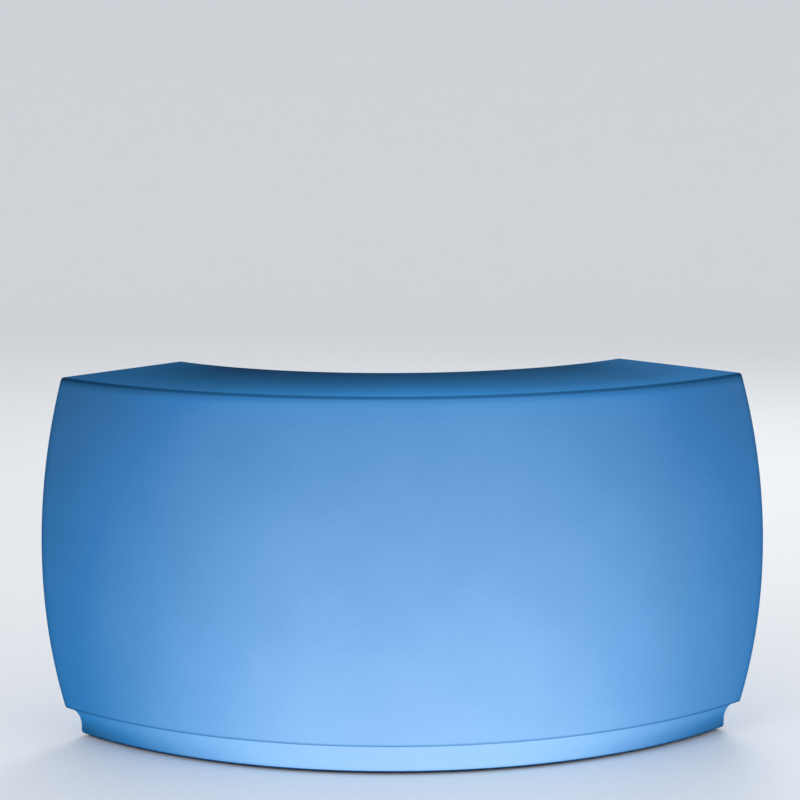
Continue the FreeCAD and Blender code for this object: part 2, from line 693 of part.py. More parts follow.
def shelf_screw_places(height):
    """Screws from under the rails into a shelf."""
    found = []
    inset = RAIL_LEG / 2 + SHELF_SCREW_OFFSET
    level = height - RAIL_THICK
    for side in (-1, 1):
        turn = FreeCAD.Rotation(UP, side * NICHE_HALF_ANGLE)
        for share in RAIL_SIDE_SHARES:
            radius = REAR_RADIUS + RAIL_FRONT_GAP + share * RAIL_SPAN
            start = Vector(-side * inset, -radius, level)
            found.append((AXIS + turn.multVec(start), UP * -1))
    for angle in RAIL_BACK_ANGLES:
        found.append((place(NICHE_BACK_RADIUS - FIT_GAP - inset, angle, level), UP * -1))
    return found


def shelf_rails(height):
    """The two side rails and the back rail of one shelf."""
    holes = [screw_hole(start, way, RAIL_SCREW_LENGTH) for start, way in rail_screw_places((height,))]
    holes += [screw_hole(start, way, SHELF_SCREW_LENGTH) for start, way in shelf_screw_places(height)]
    rails = [side_rail(-1, height), side_rail(1, height), back_rail(height)]
    return Part.makeCompound([rail.cut(holes) for rail in rails])


def rail_screws():
    return Part.makeCompound([screw(start, way, RAIL_SCREW_LENGTH) for start, way in rail_screw_places()])


def rail_nuts():
    """Round nuts on the rail screws, behind the liner's wall."""
    nuts = []
    for start, way in rail_screw_places():
        face = start - way * (RAIL_THICK + LINER_WALL + 2 * FIT_GAP)
        nut = rod(RAIL_NUT_RADIUS, face - way * RAIL_NUT_THICK, way, RAIL_NUT_THICK)
        nuts.append(nut.cut(screw_hole(start, way, RAIL_SCREW_LENGTH)))
    return Part.makeCompound(nuts)


def shelf_screws():
    places = shelf_screw_places(WORK_SHELF_HEIGHT) + shelf_screw_places(LOWER_SHELF_HEIGHT)
    return Part.makeCompound([screw(start, way, SHELF_SCREW_LENGTH) for start, way in places])


# Gear hatch

def hatch_block(inner, outer, grow):
    corner = HATCH_CORNER if grow >= 0 else HATCH_CORNER + HATCH_OVERLAP
    return curved_block(inner, outer, HATCH_LOW, HATCH_HIGH, HATCH_HALF_ANGLE, grow, corner)


def hatch_screw_places():
    found = []
    for angle in HATCH_SCREW_ANGLES:
        turn = FreeCAD.Rotation(UP, angle)
        for height in (HATCH_LOW + HATCH_SCREW_INSET, HATCH_HIGH - HATCH_SCREW_INSET):
            found.append((place(HATCH_FACE_RADIUS, angle, height), turn.multVec(OUT)))
    return found


def hatch_cover():
    """Bent cover over the gear opening."""
    cover = hatch_block(HATCH_FACE_RADIUS, HATCH_BACK_RADIUS, 0.0)
    cover = cover.makeFillet(HATCH_EDGE_ROUND, edges_at_radius(cover, HATCH_FACE_RADIUS))
    return cover.cut([screw_hole(start, way, HATCH_SCREW_LENGTH) for start, way in hatch_screw_places()])


def hatch_seal():
    """Soft seal ring under the hatch cover."""
    outside = (HATCH_LOW + HATCH_SEAL_INSET, HATCH_HIGH - HATCH_SEAL_INSET, HATCH_HALF_ANGLE)
    ring = curved_block(HATCH_BACK_RADIUS, REAR_RADIUS, *outside, 0.0, HATCH_CORNER)
    ring = ring.cut(hatch_block(HATCH_BACK_RADIUS - OVERRUN, REAR_RADIUS + OVERRUN, -HATCH_OVERLAP))
    return ring.cut([screw_hole(start, way, HATCH_SCREW_LENGTH) for start, way in hatch_screw_places()])


def hatch_screws():
    return Part.makeCompound([screw(start, way, HATCH_SCREW_LENGTH) for start, way in hatch_screw_places()])


# Light units

def tray_screw_places():
    """Screws through the trays' flanges, under the head."""
    found = []
    across = TRAY_WIDTH / 2 + TRAY_FLANGE / 2
    for angle in TRAY_ANGLES:
        turn = FreeCAD.Rotation(UP, angle)
        for along in (-TRAY_SCREW_SHARE * TRAY_LENGTH, TRAY_SCREW_SHARE * TRAY_LENGTH):
            for side in (-across, across):
                start = Vector(along, -(TRAY_RADIUS + side), FLOOR_TOP + TRAY_SHEET)
                found.append(AXIS + turn.multVec(start))
    return found


def light_tray(angle):
    """A folded hat-section tray that stands on the shell's floor."""
    half = TRAY_WIDTH / 2
    low = FLOOR_TOP
    high = FLOOR_TOP + TRAY_HEIGHT
    outline = [
        (-half - TRAY_FLANGE, low),
        (-half + TRAY_SHEET, low),
        (-half + TRAY_SHEET, high - TRAY_SHEET),
        (half - TRAY_SHEET, high - TRAY_SHEET),
        (half - TRAY_SHEET, low),
        (half + TRAY_FLANGE, low),
        (half + TRAY_FLANGE, low + TRAY_SHEET),
        (half, low + TRAY_SHEET),
        (half, high),
        (-half, high),
        (-half, low + TRAY_SHEET),
        (-half - TRAY_FLANGE, low + TRAY_SHEET),
    ]
    points = [Vector(-TRAY_LENGTH / 2, AXIS_Y - TRAY_RADIUS - across, height) for across, height in outline]
    tray = Part.Face(Part.makePolygon(points + points[:1])).extrude(Vector(TRAY_LENGTH, 0, 0))
    return turned(tray, angle).cut([screw_hole(start, UP, TRAY_HEIGHT) for start in tray_screw_places()])


def tray_screws():
    return Part.makeCompound([screw(s, UP, FLOOR_SCREW_GRIP + TRAY_SHEET) for s in tray_screw_places()])


def led_boards():
    board = box_at(0.0, TRAY_RADIUS, BOARD_LENGTH, BOARD_WIDTH, FLOOR_TOP + TRAY_HEIGHT, BOARD_THICK)
    return Part.makeCompound([turned(board, angle) for angle in TRAY_ANGLES])


def led_chips():
    """Two rows of chips on each board."""
    chips = []
    span = LED_SPAN_SHARE * BOARD_LENGTH
    pitch = span / (LEDS_PER_ROW - 1)
    for angle in TRAY_ANGLES:
        for share in LED_ROW_SHARES:
            for n in range(LEDS_PER_ROW):
                radius = TRAY_RADIUS + share * BOARD_WIDTH
                chip = box_at(n * pitch - span / 2, radius, LED_SIZE, LED_SIZE, LED_TOP, LED_THICK)
                chips.append(turned(chip, angle))
    return Part.makeCompound(chips)


def led_covers():
    """Frosted covers over the boards."""
    low = FLOOR_TOP + TRAY_HEIGHT
    outside = box_at(0.0, TRAY_RADIUS, COVER_LENGTH, COVER_WIDTH, low, COVER_HEIGHT)
    outside = outside.makeFillet(COVER_ROUND, edges_at_height(outside, low + COVER_HEIGHT))
    inside_size = (COVER_LENGTH - 2 * COVER_WALL, COVER_WIDTH - 2 * COVER_WALL)
    ceiling = low + COVER_HEIGHT - COVER_WALL
    inside = box_at(0.0, TRAY_RADIUS, *inside_size, low - OVERRUN, ceiling - low + OVERRUN)
    inside = inside.makeFillet(COVER_ROUND - COVER_WALL, edges_at_height(inside, ceiling))
    cover = outside.cut(inside)
    return Part.makeCompound([turned(cover, angle) for angle in TRAY_ANGLES])


# Gear

def gear_screw_places():
    """Screws at the plate's corners, under the head."""
    along = GEAR_PLATE_LENGTH / 2 - GEAR_SCREW_INSET
    across = GEAR_PLATE_DEPTH / 2 - GEAR_SCREW_INSET
    middle = Vector(0, AXIS_Y - GEAR_RADIUS, FLOOR_TOP + GEAR_PLATE_THICK)
    return [middle + Vector(x, y, 0) for x in (-along, along) for y in (-across, across)]


def gear_plate():
    plate = box_at(0.0, GEAR_RADIUS, GEAR_PLATE_LENGTH, GEAR_PLATE_DEPTH, FLOOR_TOP, GEAR_PLATE_THICK)
    plate = plate.makeFillet(GEAR_SCREW_INSET / 2, upright_edges(plate))
    return plate.cut([screw_hole(s, UP, FLOOR_SCREW_GRIP + GEAR_PLATE_THICK) for s in gear_screw_places()])


def gear_screws():
    return Part.makeCompound([screw(s, UP, FLOOR_SCREW_GRIP + GEAR_PLATE_THICK) for s in gear_screw_places()])


def gear_box(offset, length, depth, height):
    low = FLOOR_TOP + GEAR_PLATE_THICK
    case = box_at(offset, GEAR_RADIUS, length, depth, low, height)
    return case.makeFillet(GEAR_EDGE_ROUND, upright_edges(case) + edges_at_height(case, low + height))


def power_supply():
    return gear_box(SUPPLY_OFFSET, SUPPLY_LENGTH, SUPPLY_DEPTH, SUPPLY_HEIGHT)


def controller():
    return gear_box(CONTROLLER_OFFSET, CONTROLLER_LENGTH, CONTROLLER_DEPTH, CONTROLLER_HEIGHT)


def antenna():
    """Short tapered aerial on the controller."""
    offset = CONTROLLER_OFFSET + ANTENNA_OFFSET_SHARE * CONTROLLER_LENGTH
    low = Vector(offset, AXIS_Y - GEAR_RADIUS, FLOOR_TOP + GEAR_PLATE_THICK + CONTROLLER_HEIGHT)
    return Part.makeCone(ANTENNA_RADIUS, ANTENNA_TIP_RADIUS, ANTENNA_LENGTH, low, UP)


# Leads

def led_leads():
    """Three leads from the controller's front, round the gear plate, to the trays' rear walls."""
    level = FLOOR_TOP + LEAD_LIFT
    port = AXIS_Y - GEAR_RADIUS - CONTROLLER_DEPTH / 2
    front = AXIS_Y - LEAD_FRONT_RADIUS
    plate_end = GEAR_PLATE_LENGTH / 2 + LEAD_PLATE_GAP
    leads = []
    for angle, share in zip(TRAY_ANGLES, LEAD_PORT_SHARES):
        across = CONTROLLER_OFFSET + share * CONTROLLER_LENGTH
        points = [Vector(across, port, level), Vector(across, front, level)]
        if angle != 0:
            points.append(Vector(math.copysign(plate_end, angle), front, level))
        shift = CENTRE_LEAD_OFFSET if angle == 0 else 0.0
        turn = FreeCAD.Rotation(UP, angle)
        points.append(AXIS + turn.multVec(Vector(shift, -LEAD_RUN_RADIUS, level)))
        points.append(AXIS + turn.multVec(Vector(shift, -TRAY_REAR_RADIUS, level)))
        leads.append(lead(points))
    return Part.makeCompound(leads)


def drive_lead():
    """Straight link between the power supply and the controller."""
    level = FLOOR_TOP + GEAR_PLATE_THICK + LEAD_LIFT
    start = Vector(SUPPLY_OFFSET + SUPPLY_LENGTH / 2, AXIS_Y - GEAR_RADIUS, level)
    end_offset = CONTROLLER_OFFSET - CONTROLLER_LENGTH / 2
    return rod(LEAD_RADIUS, start, Vector(1, 0, 0), end_offset - start.x)


def supply_lead():
    """From the inlet's barrel to the power supply."""
    level = FLOOR_TOP + GEAR_PLATE_THICK + SUPPLY_HEIGHT / 2
    back = REAR_RADIUS + SPOT_DEPTH + INLET_DEPTH
    end = Vector(SUPPLY_OFFSET - SUPPLY_LENGTH / 2, AXIS_Y - GEAR_RADIUS, level)
    points = [
        place(back, INLET_ANGLE, INLET_HEIGHT),
        place(back + SUPPLY_LEAD_OUT, INLET_ANGLE, INLET_HEIGHT),
        end - Vector(SUPPLY_LEAD_OUT, 0, 0),
        end,
    ]
    return lead(points)


def switch_lead_wall_radius():
    return REAR_RADIUS + WALL + SWITCH_LEAD_WALL_GAP + LEAD_RADIUS


def switch_lead():
    """From the push button down the rear post and along the floor to the controller."""
    back = REAR_RADIUS + SPOT_DEPTH + SWITCH_DEPTH
    wall = switch_lead_wall_radius()
    level = FLOOR_TOP + GEAR_PLATE_THICK + LEAD_LIFT
    end = Vector(CONTROLLER_OFFSET + CONTROLLER_LENGTH / 2, AXIS_Y - GEAR_RADIUS, level)
    points = [
        place(back, SWITCH_ANGLE, SWITCH_HEIGHT),
        place(back + SWITCH_LEAD_OUT, SWITCH_ANGLE, SWITCH_HEIGHT),
        place(back + SWITCH_LEAD_OUT, SWITCH_ANGLE, SWITCH_HEIGHT - SWITCH_LEAD_SETTLE),
        place(wall, SWITCH_ANGLE, SWITCH_HEIGHT - 2 * SWITCH_LEAD_SETTLE),
        place(wall, SWITCH_ANGLE, SWITCH_LEAD_TURN),
    ]
    points += [place(SWITCH_LEAD_RADIUS, angle, level) for angle in SWITCH_LEAD_ANGLES]
    points += [end + Vector(LEAD_STRAIGHT, 0, 0), end]
    return lead(points)


def lead_clips():
    """Clips that hold the button's lead to the rear post."""
    clips = []
    wall = switch_lead_wall_radius()
    depth = SWITCH_LEAD_WALL_GAP + 2 * LEAD_RADIUS + CLIP_SKIN
    run = SWITCH_HEIGHT - 2 * SWITCH_LEAD_SETTLE - SWITCH_LEAD_TURN
    for share in CLIP_RUN_SHARES:
        height = SWITCH_LEAD_TURN + share * run
        clip = box_at(0.0, REAR_RADIUS + WALL + depth / 2, CLIP_WIDTH, depth, height, CLIP_HEIGHT)
        bore = rod(LEAD_RADIUS + FIT_GAP, spot(wall, height - OVERRUN), UP, CLIP_HEIGHT + 2 * OVERRUN)
        clips.append(turned(clip.cut(bore), SWITCH_ANGLE))
    return Part.makeCompound(clips)


# Push button

def switch_point(out):
    """A point on the button's axis, by its distance out from the seat."""
    return Vector(0, SEAT_Y + out, SWITCH_HEIGHT)


def switch_housing():
    """Barrel and bezel, with the well that the button slides in."""
    bezel = rod(SWITCH_BEZEL_RADIUS, switch_point(SEAL_THICK), OUT, SWITCH_BEZEL_HEIGHT)
    rim = [e for e in bezel.Edges if e.BoundBox.YMin > switch_point(SEAL_THICK).y + SWITCH_BEZEL_HEIGHT / 2]
    bezel = bezel.makeFillet(SWITCH_BEZEL_ROUND, rim)
    barrel = rod(SWITCH_BARREL_RADIUS, switch_point(-SWITCH_DEPTH), OUT, SWITCH_DEPTH + SEAL_THICK)
    button_low = SEAL_THICK + SWITCH_BEZEL_HEIGHT + SWITCH_BUTTON_PROUD - SWITCH_BUTTON_LENGTH
    floor = button_low - SWITCH_TRAVEL - FIT_GAP
    well = rod(SWITCH_BUTTON_RADIUS + RUN_CLEARANCE, switch_point(floor), OUT, SWITCH_BUTTON_LENGTH + OVERRUN)
    return turned(bezel.fuse(barrel).removeSplitter().cut(well), SWITCH_ANGLE)


def switch_button():
    """The button's cap, at its raised position."""
    top = SEAL_THICK + SWITCH_BEZEL_HEIGHT + SWITCH_BUTTON_PROUD
    cap = rod(SWITCH_BUTTON_RADIUS, switch_point(top - SWITCH_BUTTON_LENGTH), OUT, SWITCH_BUTTON_LENGTH)
    rim = [e for e in cap.Edges if e.BoundBox.YMin > switch_point(top).y - SWITCH_BUTTON_LENGTH / 2]
    return turned(cap.makeFillet(SWITCH_BUTTON_ROUND, rim), SWITCH_ANGLE)


def switch_seal():
    ring = rod(SWITCH_BEZEL_RADIUS, switch_point(0.0), OUT, SEAL_THICK)
    bore = rod(SWITCH_BARREL_RADIUS + FIT_GAP, switch_point(-OVERRUN), OUT, 2 * OVERRUN)
    return turned(ring.cut(bore), SWITCH_ANGLE)


def switch_nut():
    """Hexagon nut behind the wall."""
    middle = switch_point(SPOT_DEPTH - WALL - FIT_GAP)
    nut = hexagon(SWITCH_NUT_FLATS, middle, Vector(1, 0, 0), UP).extrude(OUT * -SWITCH_NUT_THICK)
    bore = rod(SWITCH_BARREL_RADIUS + FIT_GAP, switch_point(-SWITCH_DEPTH), OUT, SWITCH_DEPTH)
    return turned(nut.cut(bore), SWITCH_ANGLE)


# Power inlet

def inlet_point(across, out, up):
    """A point by its distance right of, out from and above the middle of the inlet's seat."""
    return Vector(across, SEAT_Y + out, INLET_HEIGHT + up)


def inlet_screw_holes():
    """Radius, start, direction and length of the flange's screw holes."""
    reach = INLET_FLANGE / 2 - INLET_SCREW_INSET
    length = INLET_SCREW_LENGTH + OVERRUN
    face = SEAL_THICK + INLET_FLANGE_THICK
    places = [(x, z) for x in (-reach, reach) for z in (-reach, reach)]
    start = face - INLET_SCREW_LENGTH - FIT_GAP
    return [(INLET_SCREW_RADIUS + FIT_GAP, inlet_point(x, start, z), OUT, length) for x, z in places]


def inlet_plate(low, thick):
    """A square plate with rounded corners, on the inlet's axis."""
    half = INLET_FLANGE / 2
    plate = Part.makeBox(INLET_FLANGE, thick, INLET_FLANGE, inlet_point(-half, low, -half))
    along = [e for e in plate.Edges if abs(abs(e.tangentAt(e.FirstParameter).dot(OUT)) - 1) < 1e-6]
    return plate.makeFillet(INLET_CORNER, along)


def hinge_height():
    """How far the hinge pin lies out from the seat."""
    return SEAL_THICK + INLET_FLANGE_THICK + CAP_GAP + CAP_THICK / 2


def knuckle(left, width):
    """A stretch of the hinge's barrel."""
    start = inlet_point(left, hinge_height(), HINGE_RISE)
    return rod(HINGE_KNUCKLE_RADIUS, start, Vector(1, 0, 0), width)


def hinge_bore(radius):
    reach = HINGE_CAP_WIDTH / 2 + HINGE_SIDE_GAP + HINGE_EAR_WIDTH
    return rod(radius, inlet_point(-reach, hinge_height(), HINGE_RISE), Vector(1, 0, 0), 2 * reach)


def inlet_housing():
    """Flange, barrel and socket, with two hinge ears above."""
    plate = inlet_plate(SEAL_THICK, INLET_FLANGE_THICK)
    barrel = rod(INLET_BARREL_RADIUS, inlet_point(0, -INLET_DEPTH, 0), OUT, INLET_DEPTH + SEAL_THICK)
    face = SEAL_THICK + INLET_FLANGE_THICK
    socket_floor = inlet_point(0, face - INLET_SOCKET_DEPTH, 0)
    socket = rod(INLET_SOCKET_RADIUS, socket_floor, OUT, INLET_SOCKET_DEPTH + OVERRUN)
    ears = []
    near = HINGE_CAP_WIDTH / 2 + HINGE_SIDE_GAP
    for left in (near, -near - HINGE_EAR_WIDTH):
        foot_low = INLET_FLANGE / 2 - INLET_CORNER
        corner = inlet_point(left, SEAL_THICK, foot_low)
        foot_rise = HINGE_RISE + HINGE_KNUCKLE_RADIUS - foot_low
        foot = Part.makeBox(HINGE_EAR_WIDTH, hinge_height() - SEAL_THICK, foot_rise, corner)
        ears += [knuckle(left, HINGE_EAR_WIDTH), foot]
    body = joined([plate, barrel] + ears).cut([socket, hinge_bore(HINGE_PIN_RADIUS + FIT_GAP)])
    holes = [rod(r, s, w, d) for r, s, w, d in inlet_screw_holes()]
    pin_seat = face - INLET_SOCKET_DEPTH
    holes += [rod(INLET_PIN_RADIUS, s, OUT, d) for s, d in inlet_pin_places(pin_seat)]
    return turned(body.cut(holes), INLET_ANGLE)


def inlet_pin_places(floor):
    """Contact pins: where each starts behind the socket's floor, and its length."""
    found = []
    for n in range(INLET_PIN_COUNT):
        turn = 2 * math.pi * n / INLET_PIN_COUNT
        across = INLET_PIN_CIRCLE * math.sin(turn)
        up = INLET_PIN_CIRCLE * math.cos(turn)
        found.append((inlet_point(across, floor - INLET_PIN_LENGTH / 2, up), INLET_PIN_LENGTH))
    return found


def inlet_pins():
    floor = SEAL_THICK + INLET_FLANGE_THICK - INLET_SOCKET_DEPTH
    pins = [rod(INLET_PIN_RADIUS, start, OUT, length) for start, length in inlet_pin_places(floor)]
    return turned(Part.makeCompound(pins), INLET_ANGLE)


def inlet_seal():
    holes = [rod(r, s, w, d) for r, s, w, d in inlet_screw_holes()]
    holes.append(rod(INLET_BARREL_RADIUS + FIT_GAP, inlet_point(0, -OVERRUN, 0), OUT, 2 * OVERRUN))
    return turned(inlet_plate(0.0, SEAL_THICK).cut(holes), INLET_ANGLE)


def inlet_screws():
    face = SEAL_THICK + INLET_FLANGE_THICK
    reach = INLET_FLANGE / 2 - INLET_SCREW_INSET
    size = (INLET_SCREW_LENGTH, INLET_SCREW_RADIUS, INLET_SCREW_HEAD, INLET_SCREW_HEAD_HEIGHT)
    places = [(x, z) for x in (-reach, reach) for z in (-reach, reach)]
    screws = [screw(inlet_point(x, face, z), OUT, *size) for x, z in places]
    return turned(Part.makeCompound(screws), INLET_ANGLE)


def inlet_cap():
    """Hinged cap with a short plug that seals the socket."""
    face = SEAL_THICK + INLET_FLANGE_THICK + CAP_GAP
    disc = rod(CAP_RADIUS, inlet_point(0, face, 0), OUT, CAP_THICK)
    plug = rod(CAP_PLUG_RADIUS, inlet_point(0, face - CAP_PLUG_DEPTH, 0), OUT, CAP_PLUG_DEPTH)
    half = HINGE_CAP_WIDTH / 2
    arm = Part.makeBox(HINGE_CAP_WIDTH, CAP_THICK, HINGE_RISE, inlet_point(-half, face, 0))
    tab_low = -CAP_RADIUS - CAP_TAB
    tab = Part.makeBox(HINGE_CAP_WIDTH, CAP_THICK, CAP_TAB + CAP_RADIUS, inlet_point(-half, face, tab_low))
    cap = joined([disc, plug, arm, tab, knuckle(-half, HINGE_CAP_WIDTH)])
    return turned(cap.cut(hinge_bore(HINGE_PIN_RADIUS + RUN_CLEARANCE)), INLET_ANGLE)


def inlet_cap_pin():
    return turned(hinge_bore(HINGE_PIN_RADIUS), INLET_ANGLE)


# Breather vent

def breather_vent():
    """Slotted vent plug that lets the lit cavity breathe."""
    seat = Vector(0, SEAT_Y, VENT_HEIGHT)
    head = rod(VENT_HEAD_RADIUS, seat, OUT, VENT_HEAD_HEIGHT)
    rim = [e for e in head.Edges if e.BoundBox.YMin > SEAT_Y + VENT_HEAD_HEIGHT / 2]
    head = head.makeFillet(VENT_SLOT_WIDTH, rim)
    plug = head.fuse(rod(VENT_BARREL_RADIUS, seat - OUT * VENT_LENGTH, OUT, VENT_LENGTH)).removeSplitter()
    slots = []
    for share in VENT_SLOT_SHARES:
        low = VENT_HEIGHT + share * VENT_HEAD_RADIUS - VENT_SLOT_WIDTH / 2
        corner = Vector(-VENT_HEAD_RADIUS, SEAT_Y + VENT_HEAD_HEIGHT - VENT_SLOT_DEPTH, low)
        slots.append(Part.makeBox(2 * VENT_HEAD_RADIUS, OVERRUN, VENT_SLOT_WIDTH, corner))
    return turned(plug.cut(slots), VENT_ANGLE)


# Link inserts and feet

def link_inserts():
    """Threaded inserts in both end faces."""
    inserts = []
    for side in (-1, 1):
        for height in LINK_HEIGHTS:
            outside = end_rod(side, LINK_RADIUS, height, 0.0, LINK_INSERT_LENGTH, LINK_INSERT_RADIUS)
            bore_length = LINK_INSERT_LENGTH + 2 * OVERRUN
            bore = end_rod(side, LINK_RADIUS, height, -OVERRUN, bore_length, LINK_BORE_RADIUS)
            inserts.append(outside.cut(bore))
    return Part.makeCompound(inserts)


def foot_inserts():
    """Threaded inserts in the base that the feet screw into."""
    inserts = []
    for radius, angle in FOOT_PLACES.values():
        outside = rod(FOOT_INSERT_RADIUS, place(radius, angle, BASE_GAP), UP, FOOT_INSERT_LENGTH)
        low = place(radius, angle, BASE_GAP - OVERRUN)
        bore = rod(STUD_RADIUS + RUN_CLEARANCE, low, UP, FOOT_INSERT_LENGTH + 2 * OVERRUN)
        inserts.append(outside.cut(bore))
    return Part.makeCompound(inserts)


def foot_pad(radius, angle):
    """Nylon pad that stands on the floor."""
    pad = rod(PAD_RADIUS, place(radius, angle, 0), UP, PAD_THICK)
    pad = pad.makeFillet(PAD_ROUND, edges_at_height(pad, PAD_THICK))
    return pad.cut(rod(STUD_RADIUS + RUN_CLEARANCE, place(radius, angle, PAD_SOCKET_FLOOR), UP, PAD_THICK))


def foot_stud(radius, angle):
    """Threaded stud with a hexagon collar under the base, for a spanner."""
    stud = rod(STUD_RADIUS, place(radius, angle, PAD_SOCKET_FLOOR), UP, STUD_LENGTH)
    middle = place(radius, angle, PAD_THICK + FIT_GAP)
    collar = hexagon(STUD_COLLAR_FLATS, middle, Vector(1, 0, 0), OUT).extrude(UP * STUD_COLLAR_THICK)
    return joined([stud, collar])


def build():
    """Every piece by its name."""
    names = ("left", "centre", "right")
    pieces = {
        "body_shell": body_shell(),
        "service_liner": service_liner(),
        "liner_seal": liner_seal(),
        "liner_screws": liner_screws(),
        "work_shelf": shelf(WORK_SHELF_HEIGHT),
        "lower_shelf": shelf(LOWER_SHELF_HEIGHT),
        "work_shelf_rails": shelf_rails(WORK_SHELF_HEIGHT),
        "lower_shelf_rails": shelf_rails(LOWER_SHELF_HEIGHT),
        "rail_screws": rail_screws(),
        "rail_nuts": rail_nuts(),
        "shelf_screws": shelf_screws(),
        "hatch_cover": hatch_cover(),
        "hatch_seal": hatch_seal(),
        "hatch_screws": hatch_screws(),
        "tray_screws": tray_screws(),
        "led_boards": led_boards(),
        "led_chips": led_chips(),
        "led_covers": led_covers(),
        "gear_plate": gear_plate(),
        "gear_screws": gear_screws(),
        "power_supply": power_supply(),
        "controller": controller(),
        "antenna": antenna(),
        "led_leads": led_leads(),
        "drive_lead": drive_lead(),
        "supply_lead": supply_lead(),
        "switch_lead": switch_lead(),
        "lead_clips": lead_clips(),
        "switch_housing": switch_housing(),
        "switch_button": switch_button(),
        "switch_seal": switch_seal(),
        "switch_nut": switch_nut(),
        "inlet_housing": inlet_housing(),
        "inlet_pins": inlet_pins(),
        "inlet_seal": inlet_seal(),
        "inlet_screws": inlet_screws(),
        "inlet_cap": inlet_cap(),
        "inlet_cap_pin": inlet_cap_pin(),
        "breather_vent": breather_vent(),
        "link_inserts": link_inserts(),
        "foot_inserts": foot_inserts(),
    }
    for name, angle in zip(names, TRAY_ANGLES):
        pieces["light_tray_" + name] = light_tray(angle)
    for name, (radius, angle) in FOOT_PLACES.items():
        pieces["foot_pad_" + name] = foot_pad(radius, angle)
        pieces["foot_stud_" + name] = foot_stud(radius, angle)
    return pieces


def main():
    os.makedirs("parts", exist_ok=True)
    for name, shape in build().items():
        solids = shape.Solids
        state = "valid" if shape.isValid() else "not valid"
        print(name, len(solids), "solids", round(shape.Volume), "mm3", state)
        kept = solids[0] if len(solids) == 1 else Part.makeCompound(solids)
        kept.exportStep("parts/" + name + ".step")


main()
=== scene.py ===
"""Looks of the illuminated corner bar counter: finishes, lit button ring, studio and camera, in metres."""

import json
import math
from collections import namedtuple

import bmesh
import bpy
from mathutils import Color, Matrix, Quaternion, Vector


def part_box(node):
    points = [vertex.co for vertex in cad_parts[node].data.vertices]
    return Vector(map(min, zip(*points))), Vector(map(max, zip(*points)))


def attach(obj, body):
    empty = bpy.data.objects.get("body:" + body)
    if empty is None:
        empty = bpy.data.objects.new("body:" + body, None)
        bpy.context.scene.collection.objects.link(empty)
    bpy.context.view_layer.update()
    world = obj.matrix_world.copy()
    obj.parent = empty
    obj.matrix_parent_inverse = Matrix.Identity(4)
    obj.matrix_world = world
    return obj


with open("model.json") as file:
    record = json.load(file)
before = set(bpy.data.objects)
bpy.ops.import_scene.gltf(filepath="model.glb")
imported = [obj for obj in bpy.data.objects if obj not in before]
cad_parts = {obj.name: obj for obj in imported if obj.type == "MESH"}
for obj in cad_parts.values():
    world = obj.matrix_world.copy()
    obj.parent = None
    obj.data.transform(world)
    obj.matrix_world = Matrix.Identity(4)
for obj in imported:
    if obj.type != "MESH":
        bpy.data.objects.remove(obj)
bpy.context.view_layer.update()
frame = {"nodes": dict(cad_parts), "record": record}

NODES = frame["nodes"]
RECORD = frame["record"]
SHELL_LOW, SHELL_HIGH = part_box("body_shell")

# Ring that the bar is bent round, and the edges of its moulded shell
BELLY_RADIUS = 1.520
BELLY_SWEEP = 1.590
BELLY_HEIGHT = 0.578
REAR_RADIUS = 0.960
HALF_ANGLE = math.radians(45)
CROWN_ROUND = 0.012
RING_Y = SHELL_LOW.y + BELLY_RADIUS
TOP = SHELL_HIGH.z
BASE = SHELL_LOW.z
SWEEP_CENTRE = BELLY_RADIUS - BELLY_SWEEP
CROWN_RADIUS = SWEEP_CENTRE + math.sqrt(BELLY_SWEEP ** 2 - (TOP - BELLY_HEIGHT) ** 2)

# Reach of the light and dark zones of the glow
REAR_FADE = 0.06
REAR_FADE_END = 0.012
# Painted shade: widths and drops of the dark line and the softer shade under the top's front edge
CROWN_LINE = 0.004
CROWN_LINE_DROP = 0.004
CROWN_SHADE = 0.011
CROWN_SHADE_DROP = 0.010
# Painted shade: width of the dark lines along the upright corners of the ends
CORNER_SHADE_WIDTH = 0.016
# Height and width of the painted shade line under the lip, and the fade of the brighter plinth below it
LIP_LINE_HEIGHT = 0.1035
LIP_LINE = 0.005
LIP_FADE = 0.012
PLINTH_FADE = 0.075
# Painted shade: height of the darkened toe
TOE_HEIGHT = 0.016
BASE_FADE = 0.006
COOL_REACH = 0.10
END_MIDDLE = 1.22
END_SPREAD = 0.17
SPREAD_LOW_SHARE = 0.93
SPREAD_TOP_SHARE = 0.76
GLOW_POWER = 3.0
LOW_POWER = 1.5
POST_SHARES = (0.65, 1.0)
END_SHARES = (0.985, 0.997)

# Levels of the glow, from 0 to GLOW_FULL, and the screen colour of each
SCREEN_FULL = 255
NOISE_MEAN = 0.5
GLOW_FULL = 1.06
GLOW_END = 0.53
GLOW_TILT = 0.033
GLOW_RISE = 0.19
GLOW_ROUND = -0.18
GLOW_MIDDLE = 0.251
GLOW_LOW = 0.229
PLINTH_MIDDLE_GAIN = 0.05
PLINTH_END_LOSS = 0.28
# Depth of the painted shade along the toe
TOE_SHADE_LOSS = 0.08
REAR_GAIN = 0.96
END_GAIN = 0.09
TOP_REAR_LEVEL = 0.28
TOP_FRONT_GAIN = 0.45
TOP_POST_GAIN = 0.19
TOP_END_LOSS = 0.20
TOP_TILT = 0.06
# Depths of the painted shade along the top's front edge and the lip, and just under the top's edge
LINE_SHADE_LOSS = 0.20
SHADE_LOSS = 0.05
SHADE_END_LOSS = 0.11
